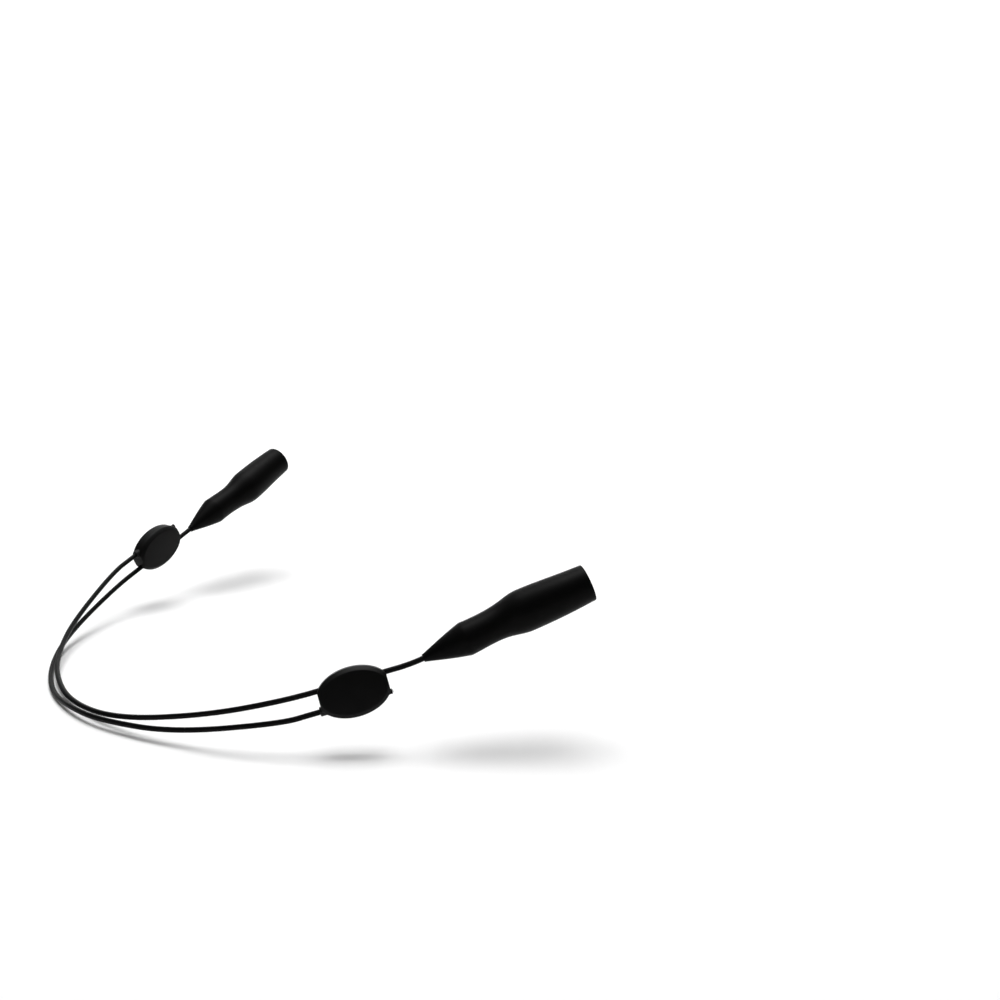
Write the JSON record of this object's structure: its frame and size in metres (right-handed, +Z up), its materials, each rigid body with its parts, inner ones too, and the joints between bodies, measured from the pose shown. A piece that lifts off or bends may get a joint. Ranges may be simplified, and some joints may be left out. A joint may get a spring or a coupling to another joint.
{
  "type": "eyeglass retainer strap",
  "caption": "Adjustable eyeglass retainer: soft sleeves for the temple tips, crossing coated steel cables that loop behind the head, and oval sliders that set the loop.",
  "frame": {"origin": "centre of the right sleeve's mouth, just inside its rounded lip, where the right temple tip goes in", "axes": "+X forward along the temples, +Y to the wearer's left, towards the other sleeve, +Z up"},
  "size_m": [0.099, 0.172, 0.04],
  "materials": {
    "sleeve_silicone": "matte moulded silicone",
    "slider_body": "fine moulded satin",
    "cable_jacket": "smooth extruded jacket over a twisted core",
    "cable_steel": "stranded wire",
    "crimp_metal": "blackened crimp tube"
  },
  "bodies": {
    "cables": {"right_cable": "cable_jacket", "left_cable": "cable_jacket", "right_cable_core": "cable_steel", "left_cable_core": "cable_steel", "right_sleeve_crimp": "crimp_metal", "left_sleeve_crimp": "crimp_metal"},
    "right_sleeve": {"right_sleeve": "sleeve_silicone"},
    "left_sleeve": {"left_sleeve": "sleeve_silicone"},
    "right_slider": {"right_slider": "slider_body", "right_slider_ferrule": "crimp_metal"},
    "left_slider": {"left_slider": "slider_body", "left_slider_ferrule": "crimp_metal"}
  },
  "joints": [
    {"name": "right_slider_slide", "type": "slide", "parent": "cables", "child": "right_slider", "axis": [-0.9002, 0.3564, -0.2504], "range_m": [-0.0035, 0.008], "deforming": ["left_cable", "left_cable_core"]},
    {"name": "left_slider_slide", "type": "slide", "parent": "cables", "child": "left_slider", "axis": [-0.853, -0.3942, -0.342], "range_m": [-0.0035, 0.008], "deforming": ["right_cable", "right_cable_core"]},
    {"name": "right_sleeve_swivel", "type": "hinge", "parent": "cables", "child": "right_sleeve", "pos_m": [0, 0, 0], "axis": [0.8695, -0.3062, 0.3875], "continuous": true},
    {"name": "left_sleeve_swivel", "type": "hinge", "parent": "cables", "child": "left_sleeve", "pos_m": [-0.0013, 0.1639, -0.0018], "axis": [0.8584, 0.3538, 0.3714], "continuous": true}
  ],
  "couplings": [
    {"joint": "left_slider_slide", "follows": "right_slider_slide", "ratio": 1}
  ]
}
